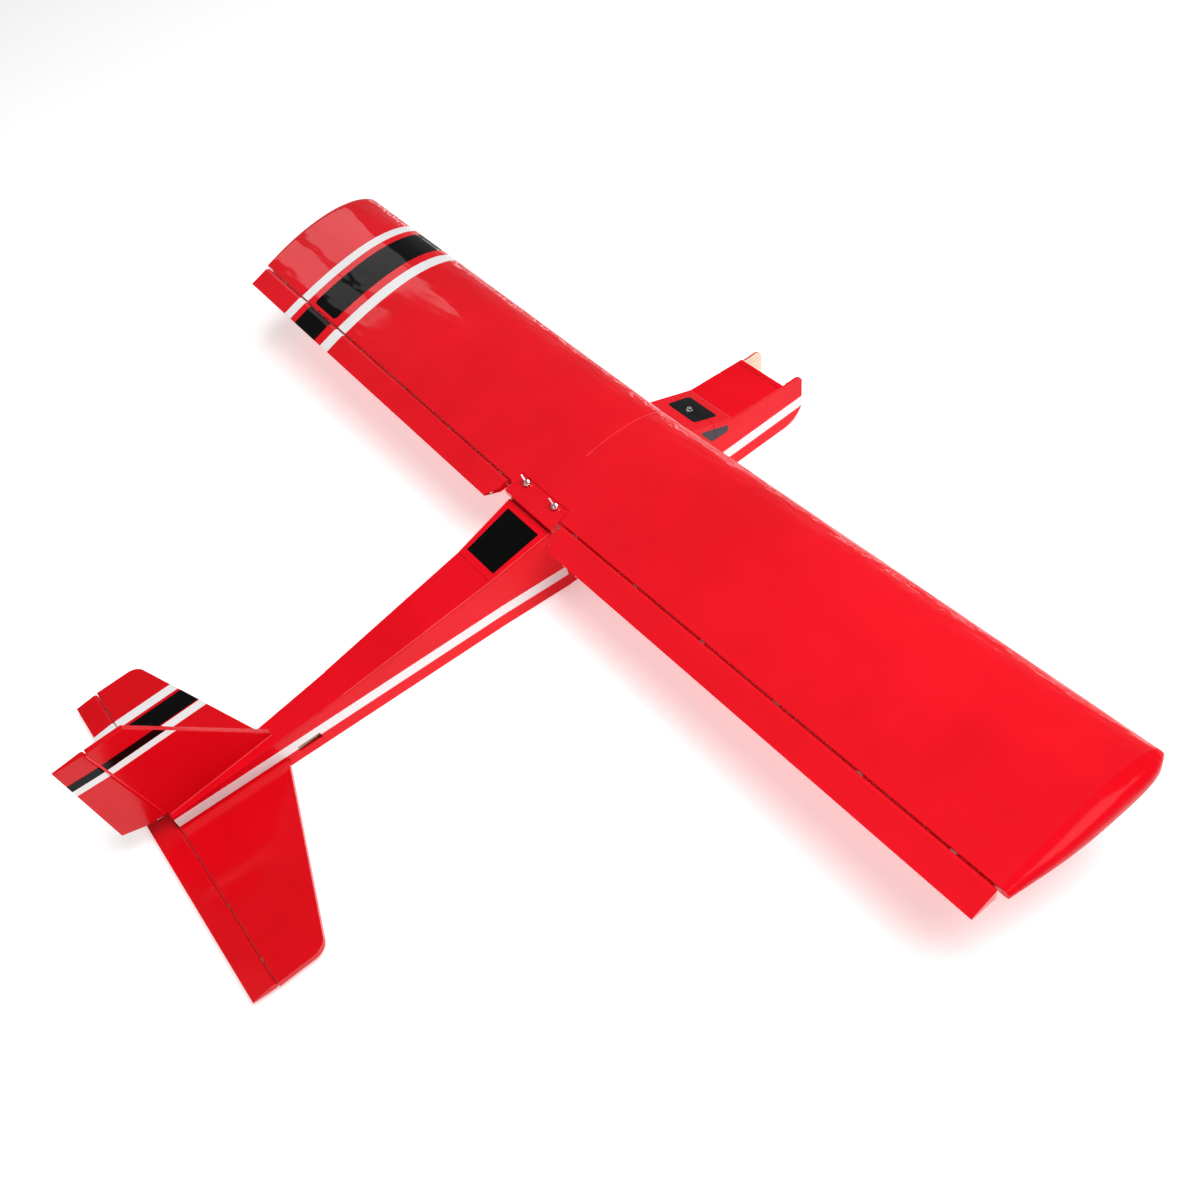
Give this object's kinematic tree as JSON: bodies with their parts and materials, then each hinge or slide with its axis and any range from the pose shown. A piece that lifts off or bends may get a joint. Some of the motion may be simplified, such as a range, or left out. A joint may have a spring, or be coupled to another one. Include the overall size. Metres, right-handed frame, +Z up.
{
  "type": "radio-controlled trainer aeroplane",
  "caption": "High-wing radio-controlled trainer airframe with ailerons, elevator and rudder on pinned hinges, built-in servo linkages, a lift-off hatch and an open engine bay.",
  "frame": {"origin": "on the belly's plane, under the middle of the length and on the centre line", "axes": "+Z up, -Y towards the nose, +X to the port (left) wing tip"},
  "size_m": [1.58, 1.0518, 0.1964],
  "materials": {
    "red_film": "gloss",
    "balsa": "matte",
    "plywood": "matte",
    "steel_wire": "satin",
    "bolt_metal": "polished",
    "servo_plastic": "matte",
    "nylon": "matte",
    "tank_plastic": "satin",
    "battery_sleeve": "gloss",
    "hinge_metal": "satin"
  },
  "bodies": {
    "airframe": {"aileron_hinges": "hinge_metal", "aileron_servo": "servo_plastic", "battery_pack": "battery_sleeve", "bottom_sheet": "red_film", "dihedral_brace": "plywood", "elevator_servo": "servo_plastic", "engine_mount_nuts": "bolt_metal", "fin": "red_film", "firewall": "red_film", "front_former": "plywood", "fuel_tank": "tank_plastic", "fuselage_side_left": "red_film", "fuselage_side_right": "red_film", "hatch_crossbar": "plywood", "landing_gear_block": "plywood", "nose_deck": "red_film", "power_switch": "servo_plastic", "pushrod_guide_tubes": "nylon", "rear_deck": "red_film", "rear_former": "balsa", "rear_window_deck": "red_film", "receiver": "servo_plastic", "rudder_servo": "servo_plastic", "servo_tray": "plywood", "stabiliser": "red_film", "tail_formers": "balsa", "tail_hinges": "hinge_metal", "throttle_servo": "servo_plastic", "windscreen_panel": "red_film", "wing_bolt_blocks": "plywood", "wing_centre_plate": "red_film", "wing_peg": "plywood", "wing_ribs": "balsa", "wing_skin_left": "red_film", "wing_skin_right": "red_film", "wing_spars": "balsa", "wing_tip_left": "red_film", "wing_tip_right": "red_film"},
    "aileron_left": {"aileron_left": "red_film", "aileron_torque_rod_left": "steel_wire"},
    "aileron_right": {"aileron_right": "red_film", "aileron_torque_rod_right": "steel_wire"},
    "aileron_servo_arm": {"aileron_servo_arm": "nylon"},
    "aileron_pushrod_left": {"aileron_pushrod_left": "steel_wire"},
    "aileron_pushrod_right": {"aileron_pushrod_right": "steel_wire"},
    "elevator": {"elevator": "red_film", "elevator_horn": "nylon"},
    "elevator_pushrod": {"elevator_pushrod": "steel_wire"},
    "elevator_servo_arm": {"elevator_servo_arm": "nylon"},
    "rudder": {"rudder": "red_film", "rudder_horn": "nylon"},
    "rudder_pushrod": {"rudder_pushrod": "steel_wire"},
    "rudder_servo_arm": {"rudder_servo_arm": "nylon"},
    "throttle_servo_arm": {"throttle_servo_arm": "nylon"},
    "throttle_pushrod": {"throttle_pushrod": "steel_wire"},
    "hatch": {"hatch_cover": "red_film"},
    "hatch_thumb_screw": {"hatch_thumb_screw": "bolt_metal"},
    "wing_bolt_left": {"wing_bolt_left": "bolt_metal"},
    "wing_bolt_right": {"wing_bolt_right": "bolt_metal"},
    "switch_slider": {"switch_slider": "servo_plastic"}
  },
  "joints": [
    {"name": "aileron_left_hinge", "type": "hinge", "parent": "airframe", "child": "aileron_left", "pos_m": [0.3, -0.1145, 0.11643], "axis": [0.9996, 0, 0.0279], "range_deg": [-20, 20]},
    {"name": "aileron_right_hinge", "type": "hinge", "parent": "airframe", "child": "aileron_right", "pos_m": [-0.3, -0.1145, 0.11643], "axis": [0.9996, 0, -0.0279], "range_deg": [-20, 20]},
    {"name": "aileron_servo_output", "type": "hinge", "parent": "airframe", "child": "aileron_servo_arm", "pos_m": [0, -0.2329, 0.086], "axis": [0, 0, 1], "range_deg": [-26.4, 26.4]},
    {"name": "aileron_pushrod_left_slide", "type": "slide", "parent": "airframe", "child": "aileron_pushrod_left", "axis": [0, 1, 0], "range_m": [-0.0094, 0.0094]},
    {"name": "aileron_pushrod_right_slide", "type": "slide", "parent": "airframe", "child": "aileron_pushrod_right", "axis": [0, 1, 0], "range_m": [-0.0094, 0.0094]},
    {"name": "elevator_hinge", "type": "hinge", "parent": "airframe", "child": "elevator", "pos_m": [0, 0.4658, 0.011], "axis": [1, 0, 0], "range_deg": [-20, 20]},
    {"name": "elevator_pushrod_slide", "type": "slide", "parent": "airframe", "child": "elevator_pushrod", "axis": [0, 1, 0], "range_m": [-0.006, 0.006]},
    {"name": "elevator_servo_output", "type": "hinge", "parent": "airframe", "child": "elevator_servo_arm", "pos_m": [0.027, -0.2289, 0.0585], "axis": [0, 0, 1], "range_deg": [-25, 25]},
    {"name": "rudder_hinge", "type": "hinge", "parent": "airframe", "child": "rudder", "pos_m": [0, 0.46881, 0.05724], "axis": [0, 0.1514, 0.9885], "range_deg": [-20, 20]},
    {"name": "rudder_pushrod_slide", "type": "slide", "parent": "airframe", "child": "rudder_pushrod", "axis": [0, 1, 0], "range_m": [-0.007, 0.007]},
    {"name": "rudder_servo_output", "type": "hinge", "parent": "airframe", "child": "rudder_servo_arm", "pos_m": [0, -0.2289, 0.0585], "axis": [0, 0, 1], "range_deg": [-30, 30]},
    {"name": "throttle_servo_output", "type": "hinge", "parent": "airframe", "child": "throttle_servo_arm", "pos_m": [-0.027, -0.2289, 0.0585], "axis": [0, 0, 1], "range_deg": [-30, 30]},
    {"name": "throttle_pushrod_slide", "type": "slide", "parent": "airframe", "child": "throttle_pushrod", "axis": [0, 1, 0], "range_m": [-0.0045, 0.0045]},
    {"name": "hatch_lift_off", "type": "slide", "parent": "airframe", "child": "hatch", "axis": [0, 0, 1], "range_m": [0, 0.06]},
    {"name": "hatch_screw_turn", "type": "hinge", "parent": "hatch", "child": "hatch_thumb_screw", "pos_m": [0, -0.3689, 0.09101], "axis": [0, -0.3456, 0.9384], "continuous": true},
    {"name": "wing_bolt_left_turn", "type": "hinge", "parent": "airframe", "child": "wing_bolt_left", "pos_m": [0.0316, -0.1289, 0.11], "axis": [0, 0, 1], "continuous": true},
    {"name": "wing_bolt_right_turn", "type": "hinge", "parent": "airframe", "child": "wing_bolt_right", "pos_m": [-0.0316, -0.1289, 0.11], "axis": [0, 0, 1], "continuous": true},
    {"name": "power_switch_slide", "type": "slide", "parent": "airframe", "child": "switch_slider", "axis": [0, 1, 0], "range_m": [0, 0.005]}
  ],
  "couplings": [
    {"joint": "aileron_right_hinge", "follows": "aileron_left_hinge", "ratio": -1},
    {"joint": "aileron_servo_output", "follows": "aileron_left_hinge", "ratio": 1.2702},
    {"joint": "aileron_pushrod_left_slide", "follows": "aileron_left_hinge", "m_per_rad": 0.025403},
    {"joint": "aileron_pushrod_right_slide", "follows": "aileron_left_hinge", "m_per_rad": -0.025403},
    {"joint": "elevator_pushrod_slide", "follows": "elevator_hinge", "m_per_rad": -0.015},
    {"joint": "elevator_servo_output", "follows": "elevator_hinge", "ratio": 1.1539},
    {"joint": "rudder_pushrod_slide", "follows": "rudder_hinge", "m_per_rad": 0.018},
    {"joint": "rudder_servo_output", "follows": "rudder_hinge", "ratio": -1.3846},
    {"joint": "throttle_servo_output", "follows": "throttle_pushrod_slide", "rad_per_m": -111.11}
  ]
}
